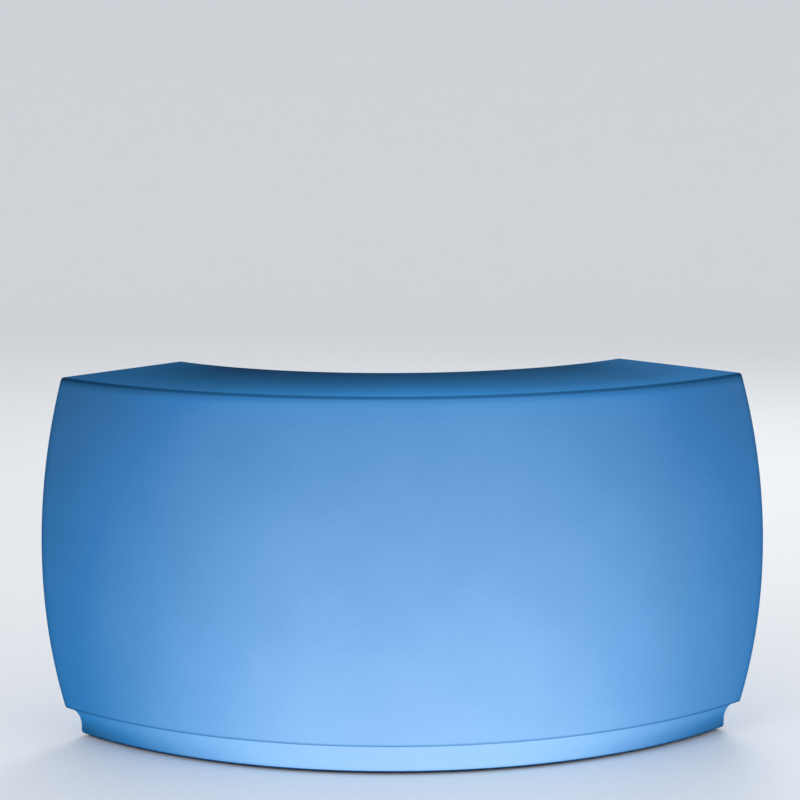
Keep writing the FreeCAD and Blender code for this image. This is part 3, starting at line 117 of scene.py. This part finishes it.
# Depth of the painted shade along the upright corners of the ends
CORNER_SHADE_LOSS = 0.10
MOTTLE = 0.035
FINE_MOTTLE = 0.02
COOL_END_LOSS = 0.3
COOL_CROWN = 0.45
COOL_LOW = 0.7
COOL_TILT = -0.3
COOL_TINT = (0.55, 1.04, 1.08, 1.0)
LINER_LEVEL = 0.32
LINER_LOW_GAIN = 0.32
LINER_MOTTLE = 0.02
GLOW_COLOURS = (
    (0.22, (8, 34, 62)),
    (0.42, (28, 75, 113)),
    (0.55, (46, 95, 142)),
    (0.68, (60, 120, 180)),
    (0.80, (91, 147, 204)),
    (0.90, (119, 172, 231)),
    (1.00, (150, 201, 254)),
    (1.06, (166, 213, 254)),
)

# Tones, gloss and relief of the finishes
TONE_LEVELS = (0.3, 0.7)
METAL_WEAR_SHARE = 0.20
GRAIN_WEAR_SHARE = 0.15
COARSE_SKIN_SHARE = 0.6
SPECKLE_SHARE = 0.7
SPECKLE_POWER = 1.4
SHELL_GLOSS = 0.001
SKIN_RELIEF = 0.00025
GRAIN_RELIEF = 0.0001
BRUSH_RELIEF = 0.00002

# Lit ring on the push button's bezel
RING_SHARE = 0.45
RING_BEAD = 0.0009
RING_RISE_SHARE = 0.6
RING_STEPS = 96
BEAD_STEPS = 16

# Studio, with the power of each lamp in watts
FLOOR_RADIUS = 10.0
SWEEP_RADIUS = 5.0
WALL_HEIGHT = 6.0
FLOOR_STEPS = 96
SWEEP_STEPS = 24
WORLD_LEVEL = 0.90
WORLD_COLOUR = (0.94, 0.97, 1.0, 1.0)
LAMP_SIZE = 4.0
LAMPS = (
    ("key", (-3.6, -5.6, 5.2), 110),
    ("fill", (5.0, -3.6, 3.6), 50),
    ("rear", (1.5, 5.6, 4.6), 90),
)

# Camera of the photograph, with its lens and sensor in millimetres and its angles in radians
CAMERA_PLACE = (-0.1185, -6.5865, 2.0909)
CAMERA_LENS = 102.52
CAMERA_SENSOR = 36.0
CAMERA_PITCH = 0.15714
CAMERA_YAW = 0.01675
CAMERA_ROLL = 0.00447


def linear(red, green, blue):
    """A screen colour, 0 to SCREEN_FULL, as scene-linear values."""
    screen = Color((red / SCREEN_FULL, green / SCREEN_FULL, blue / SCREEN_FULL))
    return (*screen.from_srgb_to_scene_linear(), 1.0)


class Finish:
    """One material, with short calls for the nodes that feed its shader."""

    def __init__(self, name, roughness, metallic=0.0):
        self.material = bpy.data.materials.new(name)
        self.material.use_nodes = True
        self.tree = self.material.node_tree
        self.shader = self.tree.nodes["Principled BSDF"]
        self.shader.inputs["Roughness"].default_value = roughness
        self.shader.inputs["Metallic"].default_value = metallic
        self.place = self.node("ShaderNodeTexCoord").outputs["Object"]

    def node(self, kind, **settings):
        made = self.tree.nodes.new(kind)
        for name, value in settings.items():
            setattr(made, name, value)
        return made

    def feed(self, socket, value):
        """Sets a socket to a number or links it to another node's output."""
        if isinstance(value, bpy.types.NodeSocket):
            self.tree.links.new(value, socket)
        else:
            socket.default_value = value

    def calc(self, operation, *values):
        """One arithmetic step on numbers or sockets."""
        made = self.node("ShaderNodeMath", operation=operation)
        for socket, value in zip(made.inputs, values):
            self.feed(socket, value)
        return made.outputs[0]

    def add(self, first, *others):
        for value in others:
            first = self.calc("ADD", first, value)
        return first

    def times(self, first, *others):
        for value in others:
            first = self.calc("MULTIPLY", first, value)
        return first

    def less(self, value, taken):
        return self.calc("SUBTRACT", value, taken)

    def over(self, value, divisor):
        return self.calc("DIVIDE", value, divisor)

    def step(self, value, low, high):
        """0 at low, 1 at high, and smooth between."""
        made = self.node("ShaderNodeMapRange", interpolation_type="SMOOTHSTEP")
        self.feed(made.inputs["Value"], value)
        made.inputs["From Min"].default_value = low
        made.inputs["From Max"].default_value = high
        return made.outputs["Result"]

    def hump(self, value, middle, width):
        """1 at the middle, falling smoothly to 0 on both sides."""
        away = self.over(self.less(value, middle), width)
        return self.calc("EXPONENT", self.times(away, away, -1.0))

    def mix(self, share, low, high):
        """A number between two others."""
        return self.add(self.times(self.less(1.0, share), low), self.times(share, high))

    def noise(self, scale, detail=3.0, stretch=(1.0, 1.0, 1.0)):
        """Noise from 0 to 1, in cycles per metre, drawn out along an axis by a small stretch."""
        spread = self.node("ShaderNodeMapping")
        spread.inputs["Scale"].default_value = stretch
        self.feed(spread.inputs["Vector"], self.place)
        made = self.node("ShaderNodeTexNoise")
        made.inputs["Scale"].default_value = scale
        made.inputs["Detail"].default_value = detail
        self.feed(made.inputs["Vector"], spread.outputs["Vector"])
        return made.outputs["Fac"]

    def ramp(self, level, stops):
        """A colour picked by a level."""
        made = self.node("ShaderNodeValToRGB")
        elements = made.color_ramp.elements
        while len(elements) < len(stops):
            elements.new(1.0)
        for element, (position, colour) in zip(elements, stops):
            element.position = position
            element.color = colour
        self.feed(made.inputs["Fac"], level)
        return made.outputs["Color"]

    def tint(self, level, dark, light):
        """Base colour that wanders between two tones."""
        tones = self.ramp(level, tuple(zip(TONE_LEVELS, (dark, light))))
        self.feed(self.shader.inputs["Base Color"], tones)

    def worn(self, level, low, high):
        """Roughness that wanders between two values."""
        self.feed(self.shader.inputs["Roughness"], self.mix(level, low, high))

    def stained(self, colour, stain, share):
        """A colour multiplied by another, as far as a share says."""
        made = self.node("ShaderNodeMix", data_type="RGBA", blend_type="MULTIPLY")
        sockets = [socket for socket in made.inputs if socket.enabled]
        for socket, value in zip(sockets, (share, colour, stain)):
            self.feed(socket, value)
        return next(socket for socket in made.outputs if socket.enabled)

    def lit(self, level, strength, cool=0.0):
        """Emission in the colour of a glow level, drawn towards cyan where it is cool."""
        stops = tuple((stop / GLOW_FULL, linear(*colour)) for stop, colour in GLOW_COLOURS)
        colour = self.ramp(self.over(level, GLOW_FULL), stops)
        self.feed(self.shader.inputs["Emission Color"], self.stained(colour, COOL_TINT, cool))
        self.shader.inputs["Emission Strength"].default_value = strength

    def bump(self, height, depth, strength):
        """Relief of a depth in metres."""
        made = self.node("ShaderNodeBump")
        made.inputs["Strength"].default_value = strength
        made.inputs["Distance"].default_value = depth
        self.feed(made.inputs["Height"], height)
        self.feed(self.shader.inputs["Normal"], made.outputs["Normal"])


Places = namedtuple("Places", "angle to_end radius height rise on_top")


def ring_places(finish):
    """Where each point of the surface lies on the ring."""
    split = finish.node("ShaderNodeSeparateXYZ")
    finish.feed(split.inputs[0], finish.place)
    across, along, height = split.outputs
    depth = finish.less(RING_Y, along)
    angle = finish.calc("ARCTAN2", across, depth)
    return Places(
        angle=angle,
        to_end=finish.over(finish.calc("ABSOLUTE", angle), HALF_ANGLE),
        radius=finish.calc("SQRT", finish.add(finish.times(across, across), finish.times(depth, depth))),
        height=height,
        rise=finish.over(height, TOP),
        on_top=finish.step(height, TOP - CROWN_ROUND / 2, TOP),
    )


def side_level(finish, at):
    """Glow of the upright faces: brightest low in the middle, dim at the ends, and darkened along the toe
    as painted shade of its rounded bottom edge.
    """
    spread = finish.mix(at.rise, SPREAD_LOW_SHARE, SPREAD_TOP_SHARE)
    fall = finish.calc("POWER", finish.over(at.to_end, spread), GLOW_POWER)
    middle = finish.calc("EXPONENT", finish.times(fall, -1.0))
    low_gain = finish.times(finish.calc("POWER", finish.less(1.0, at.rise), LOW_POWER), GLOW_LOW)
    level = finish.add(
        GLOW_END,
        finish.times(at.angle, GLOW_TILT / HALF_ANGLE),
        finish.times(at.rise, GLOW_RISE),
        finish.times(at.rise, at.rise, GLOW_ROUND),
        finish.times(middle, finish.add(GLOW_MIDDLE, low_gain)),
    )
    plinth = finish.step(at.height, LIP_LINE_HEIGHT + LIP_FADE, LIP_LINE_HEIGHT - LIP_FADE)
    level = finish.add(level, finish.times(plinth, middle, PLINTH_MIDDLE_GAIN))
    low_down = finish.step(at.height, PLINTH_FADE, BASE)
    plinth_end = finish.times(low_down, finish.less(1.0, middle), PLINTH_END_LOSS)
    # Painted shade along the rounded bottom edge of the plinth
    toe = finish.times(finish.step(at.height, BASE + TOE_HEIGHT, BASE), TOE_SHADE_LOSS)
    level = finish.less(level, finish.add(plinth_end, toe))
    behind = finish.step(at.radius, REAR_RADIUS + REAR_FADE, REAR_RADIUS + REAR_FADE_END)
    off_base = finish.step(at.height, BASE, BASE + BASE_FADE)
    level = finish.times(level, finish.mix(behind, 1.0, REAR_GAIN), off_base)
    on_end = finish.step(at.to_end, *END_SHARES)
    return finish.add(level, finish.times(on_end, finish.hump(at.radius, END_MIDDLE, END_SPREAD), END_GAIN))


def top_level(finish, at):
    """Glow of the flat top: bright along the front and over the two end posts."""
    reach = finish.over(finish.less(at.radius, REAR_RADIUS), CROWN_RADIUS - REAR_RADIUS)
    gain = finish.times(reach, finish.less(TOP_FRONT_GAIN, finish.times(at.to_end, TOP_END_LOSS)))
    post = finish.times(finish.step(at.to_end, *POST_SHARES), finish.less(1.0, reach), TOP_POST_GAIN)
    return finish.add(TOP_REAR_LEVEL, gain, post, finish.times(at.angle, TOP_TILT / HALF_ANGLE))


def painted_edge_shade(finish, at):
    """Painted shade: dark lines along the rounded front edge of the top and under the lip over the plinth,
    and a softer painted shade just under the top's edge, deeper towards the ends.
    """
    outside = finish.step(at.radius, CROWN_RADIUS - CROWN_ROUND, CROWN_RADIUS - CROWN_ROUND / 2)
    crown = finish.hump(at.height, TOP - CROWN_LINE_DROP, CROWN_LINE)
    lip = finish.hump(at.height, LIP_LINE_HEIGHT, LIP_LINE)
    lines = finish.times(finish.add(crown, lip), LINE_SHADE_LOSS)
    shade = finish.hump(at.height, TOP - CROWN_SHADE_DROP, CROWN_SHADE)
    shade = finish.times(shade, finish.mix(at.to_end, SHADE_LOSS, SHADE_END_LOSS))
    return finish.times(outside, finish.add(lines, shade))


def painted_corner_shade(finish, at):
    """Painted shade along the upright corners of the two ends, setting the end faces off from the front and
    the rear.
    """
    off_belly = finish.less(at.height, BELLY_HEIGHT)
    sweep = finish.calc("SQRT", finish.less(BELLY_SWEEP ** 2, finish.times(off_belly, off_belly)))
    front = finish.add(sweep, SWEEP_CENTRE)
    from_end = finish.times(finish.less(1.0, at.to_end), at.radius, HALF_ANGLE)
    near_end = finish.hump(from_end, 0.0, CORNER_SHADE_WIDTH)
    near_front = finish.hump(finish.less(front, at.radius), 0.0, CORNER_SHADE_WIDTH)
    near_rear = finish.hump(at.radius, REAR_RADIUS, CORNER_SHADE_WIDTH)
    return finish.times(near_end, finish.add(near_front, near_rear), CORNER_SHADE_LOSS)


def glow_level(finish, at):
    """Glow of the whole shell, less the painted shade along the top's front edge, the lip, the upright
    corners and the toe.
    """
    side = finish.less(side_level(finish, at), painted_corner_shade(finish, at))
    level = finish.less(finish.mix(at.on_top, side, top_level(finish, at)), painted_edge_shade(finish, at))
    cloud = finish.times(finish.less(finish.noise(scale=5.0, detail=2.0), NOISE_MEAN), MOTTLE)
    speckle = finish.times(finish.less(finish.noise(scale=70.0), NOISE_MEAN), FINE_MOTTLE)
    return finish.add(level, cloud, speckle)


def glow_cool(finish, at):
    """Share of cyan in the glow: most on the top, some just under it and low down at the ends."""
    top = finish.times(at.on_top, finish.less(1.0, finish.times(at.to_end, COOL_END_LOSS)))
    high_up = finish.step(at.height, TOP - COOL_REACH, TOP)
    crown = finish.times(high_up, finish.less(1.0, finish.step(at.to_end, *POST_SHARES)), COOL_CROWN)
    low_share = finish.add(COOL_LOW, finish.times(at.angle, COOL_TILT / HALF_ANGLE))
    low = finish.times(at.to_end, at.to_end, finish.less(1.0, at.rise), low_share)
    return finish.calc("MAXIMUM", top, finish.add(crown, low))


def moulded_skin(finish):
    """Fine orange-peel skin of rotationally moulded plastic."""
    fine = finish.noise(scale=160.0, detail=2.0)
    coarse = finish.times(finish.noise(scale=28.0, detail=1.0), COARSE_SKIN_SHARE)
    finish.bump(finish.add(fine, coarse), SKIN_RELIEF, strength=0.35)


def glow_shell():
    """Milky shell, lit from inside. Its own colour is dark, because the glow gives what is seen."""
    finish = Finish("glow_shell", roughness=0.5)
    at = ring_places(finish)
    finish.lit(glow_level(finish, at), strength=1.0, cool=glow_cool(finish, at))
    finish.shader.inputs["Specular IOR Level"].default_value = SHELL_GLOSS
    finish.tint(finish.noise(scale=7.0, detail=4.0), linear(5, 15, 29), linear(7, 20, 38))
    finish.worn(finish.noise(scale=40.0), low=0.42, high=0.58)
    moulded_skin(finish)
    return finish.material


def spill_plastic(name, dark, light):
    """Satin plastic that lets a little of the glow through, more of it low down."""
    finish = Finish(name, roughness=0.5)
    low = finish.times(finish.less(1.0, ring_places(finish).rise), LINER_LOW_GAIN)
    cloud = finish.times(finish.noise(scale=5.0, detail=2.0), LINER_MOTTLE)
    finish.lit(finish.add(LINER_LEVEL, low, cloud), strength=0.8)
    finish.tint(finish.noise(scale=9.0, detail=4.0), dark, light)
    finish.worn(finish.noise(scale=55.0), low=0.42, high=0.60)
    moulded_skin(finish)
    return finish.material


def liner_plastic():
    return spill_plastic("liner_plastic", linear(136, 154, 171), linear(142, 161, 178))


def hatch_plastic():
    return spill_plastic("hatch_plastic", linear(142, 160, 177), linear(148, 167, 184))


def laminate():
    """Graphite compact laminate with a fine stone-like speckle."""
    finish = Finish("laminate", roughness=0.5)
    grit = finish.calc("POWER", finish.noise(scale=420.0, detail=2.0), SPECKLE_POWER)
    speckle = finish.times(grit, SPECKLE_SHARE)
    cloud = finish.times(finish.noise(scale=12.0), 1 - SPECKLE_SHARE)
    finish.tint(finish.add(speckle, cloud), linear(44, 47, 52), linear(84, 89, 96))
    finish.worn(finish.noise(scale=80.0), low=0.38, high=0.62)
    finish.bump(finish.noise(scale=700.0, detail=2.0), GRAIN_RELIEF, strength=0.4)
    return finish.material


def metal(name, dark, light, roughness, stretch):
    """Bare metal with fine marks, drawn out along an axis by a small stretch."""
    finish = Finish(name, roughness, metallic=1.0)
    marks = finish.noise(scale=900.0, detail=4.0, stretch=stretch)
    finish.tint(marks, dark, light)
    wear = METAL_WEAR_SHARE * roughness
    finish.worn(finish.noise(scale=60.0), low=roughness - wear, high=roughness + wear)
    finish.bump(marks, BRUSH_RELIEF, strength=0.3)
    return finish.material


def stainless():
    tones = linear(168, 170, 173), linear(190, 192, 195)
    return metal("stainless", *tones, roughness=0.32, stretch=(0.1, 0.1, 1.0))


def tray_metal():
    tones = linear(184, 186, 190), linear(202, 204, 207)
    return metal("tray_metal", *tones, roughness=0.40, stretch=(0.1, 1.0, 1.0))


def polished_steel():
    tones = linear(206, 208, 211), linear(216, 217, 220)
    return metal("polished_steel", *tones, roughness=0.14, stretch=(1.0, 1.0, 0.05))


def brass():
    tones = linear(184, 146, 76), linear(204, 166, 94)
    return metal("brass", *tones, roughness=0.28, stretch=(1.0, 1.0, 0.2))


def zinc_steel():
    tones = linear(164, 168, 173), linear(186, 190, 196)
    return metal("zinc_steel", *tones, roughness=0.36, stretch=(1.0, 1.0, 0.3))


def grained(name, dark, light, roughness, grain):
    """Moulded plastic or rubber with a grain and slightly uneven gloss."""
    finish = Finish(name, roughness)
    finish.tint(finish.noise(scale=26.0, detail=4.0), dark, light)
    wear = GRAIN_WEAR_SHARE * roughness
    finish.worn(finish.noise(scale=60.0), low=roughness - wear, high=roughness + wear)
    finish.bump(finish.noise(scale=grain, detail=2.0), GRAIN_RELIEF, strength=0.5)
    return finish.material


def seal_rubber():
    tones = linear(24, 25, 27), linear(38, 39, 42)
    return grained("seal_rubber", *tones, roughness=0.72, grain=600.0)


def dark_plastic():
    tones = linear(26, 27, 29), linear(40, 42, 45)
    return grained("dark_plastic", *tones, roughness=0.47, grain=900.0)


def foot_nylon():
    tones = linear(28, 29, 31), linear(46, 47, 50)
    return grained("foot_nylon", *tones, roughness=0.60, grain=500.0)


def lead_sleeve():
    tones = linear(34, 35, 38), linear(50, 52, 55)
    return grained("lead_sleeve", *tones, roughness=0.48, grain=400.0)


def board():
    tones = linear(208, 212, 206), linear(226, 229, 224)
    return grained("board", *tones, roughness=0.42, grain=300.0)


def frosted_cover():
    tones = linear(206, 220, 232), linear(222, 233, 242)
    return grained("frosted_cover", *tones, roughness=0.55, grain=500.0)


def led():
    """Lit chips and the lit ring."""
    finish = Finish("led", roughness=0.2)
    finish.tint(finish.noise(scale=300.0), linear(176, 214, 252), linear(206, 230, 255))
    finish.lit(finish.add(GLOW_END, finish.noise(scale=300.0)), strength=0.8)
    return finish.material


MAKERS = (
    glow_shell, liner_plastic, hatch_plastic, laminate, stainless, tray_metal, polished_steel, brass,
    zinc_steel, seal_rubber, dark_plastic, foot_nylon, lead_sleeve, board, frosted_cover, led,
)


def dress_nodes(materials):
    """Gives every CAD node the finish that the record names for it."""
    for row in RECORD["subparts"]:
        for slot in NODES[row["node"]].material_slots:
            slot.material = materials[row["material_slot"]]


def add_object(name, mesh, material):
    """A smooth mesh object, linked to the scene."""
    for face in mesh.faces:
        face.smooth = True
    data = bpy.data.meshes.new(name)
    mesh.to_mesh(data)
    mesh.free()
    data.materials.append(material)
    made = bpy.data.objects.new(name, data)
    bpy.context.scene.collection.objects.link(made)
    return made


def even_turns(count):
    """Angles that part a full turn evenly."""
    return [2 * math.pi * n / count for n in range(count)]


def join_rows(mesh, rows):
    """Faces between each row of points and the next."""
    for here, there in zip(rows, rows[1:]):
        for n in range(len(here)):
            after = (n + 1) % len(here)
            mesh.faces.new((here[n], there[n], there[after], here[after]))


def half_height(node):
    low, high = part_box(node)
    return (high.z - low.z) / 2


def bead_row(mesh, middle, way, out, ring_radius):
    """Points round the ring's bead where a way out from its middle meets it."""
    row = []
    for tilt in even_turns(BEAD_STEPS):
        reach = ring_radius + RING_BEAD * math.cos(tilt)
        rise = RING_RISE_SHARE * RING_BEAD * math.sin(tilt)
        row.append(mesh.verts.new(middle + way * reach + out * rise))
    return row


def lit_ring(materials):
    """Thin lit ring let into the push button's bezel."""
    joint = next(j for j in RECORD["behaviour"]["joints"] if j["name"] == "button_press")
    out = -Vector(joint["axis"])
    upright = Vector((0, 0, 1))
    right = out.cross(upright)
    low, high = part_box("switch_button")
    middle = (low + high) / 2
    face = max(v.co.dot(out) for v in NODES["switch_housing"].data.vertices)
    middle += out * (face - middle.dot(out))
    button_radius = half_height("switch_button")
    ring_radius = button_radius + RING_SHARE * (half_height("switch_housing") - button_radius)
    mesh = bmesh.new()
    rows = []
    for turn in even_turns(RING_STEPS):
        way = right * math.cos(turn) + upright * math.sin(turn)
        rows.append(bead_row(mesh, middle, way, out, ring_radius))
    join_rows(mesh, rows + rows[:1])
    bmesh.ops.recalc_face_normals(mesh, faces=mesh.faces)
    ring = add_object("button_ring", mesh, materials["led"])
    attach(ring, "counter")


def floor_material():
    finish = Finish("floor", roughness=0.7)
    finish.tint(finish.noise(scale=40.0), linear(226, 227, 229), linear(229, 230, 232))
    return finish.material


def studio_floor():
    """Round pale floor that sweeps up into a wall on every side."""
    line = [(FLOOR_RADIUS, 0.0)]
    for n in range(1, SWEEP_STEPS + 1):
        turn = math.pi / 2 * n / SWEEP_STEPS
        line.append((FLOOR_RADIUS + SWEEP_RADIUS * math.sin(turn), SWEEP_RADIUS * (1 - math.cos(turn))))
    line.append((FLOOR_RADIUS + SWEEP_RADIUS, WALL_HEIGHT))
    mesh = bmesh.new()
    rows = []
    for radius, height in line:
        ways = [(math.cos(turn), math.sin(turn)) for turn in even_turns(FLOOR_STEPS)]
        rows.append([mesh.verts.new((radius * x, radius * y, height)) for x, y in ways])
    mesh.faces.new(rows[0])
    join_rows(mesh, rows)
    add_object("floor", mesh, floor_material())


def studio_light():
    """Large soft lamps aimed at the bar, and an even pale sky."""
    middle = Vector((0, 0, TOP / 2))
    for name, place, power in LAMPS:
        data = bpy.data.lights.new(name, "AREA")
        data.shape = "DISK"
        data.size = LAMP_SIZE
        data.energy = power
        lamp = bpy.data.objects.new(name, data)
        lamp.location = place
        lamp.rotation_euler = (middle - lamp.location).to_track_quat("-Z", "Y").to_euler()
        bpy.context.scene.collection.objects.link(lamp)
    world = bpy.data.worlds.new("studio")
    world.use_nodes = True
    background = world.node_tree.nodes["Background"]
    background.inputs["Color"].default_value = WORLD_COLOUR
    background.inputs["Strength"].default_value = WORLD_LEVEL
    bpy.context.scene.world = world


def camera():
    """The photograph's viewpoint."""
    level = math.cos(CAMERA_PITCH)
    ahead = Vector((math.sin(CAMERA_YAW) * level, math.cos(CAMERA_YAW) * level, -math.sin(CAMERA_PITCH)))
    data = bpy.data.cameras.new("camera")
    data.sensor_fit = "HORIZONTAL"
    data.sensor_width = CAMERA_SENSOR
    data.lens = CAMERA_LENS
    viewer = bpy.data.objects.new("camera", data)
    turn = ahead.to_track_quat("-Z", "Y") @ Quaternion((0, 0, 1), -CAMERA_ROLL)
    viewer.matrix_world = Matrix.Translation(CAMERA_PLACE) @ turn.to_matrix().to_4x4()
    bpy.context.scene.collection.objects.link(viewer)
    bpy.context.scene.camera = viewer


def main():
    materials = {maker.__name__: maker() for maker in MAKERS}
    dress_nodes(materials)
    lit_ring(materials)
    studio_floor()
    studio_light()
    camera()
    bpy.context.scene.view_settings.view_transform = "Standard"


main()
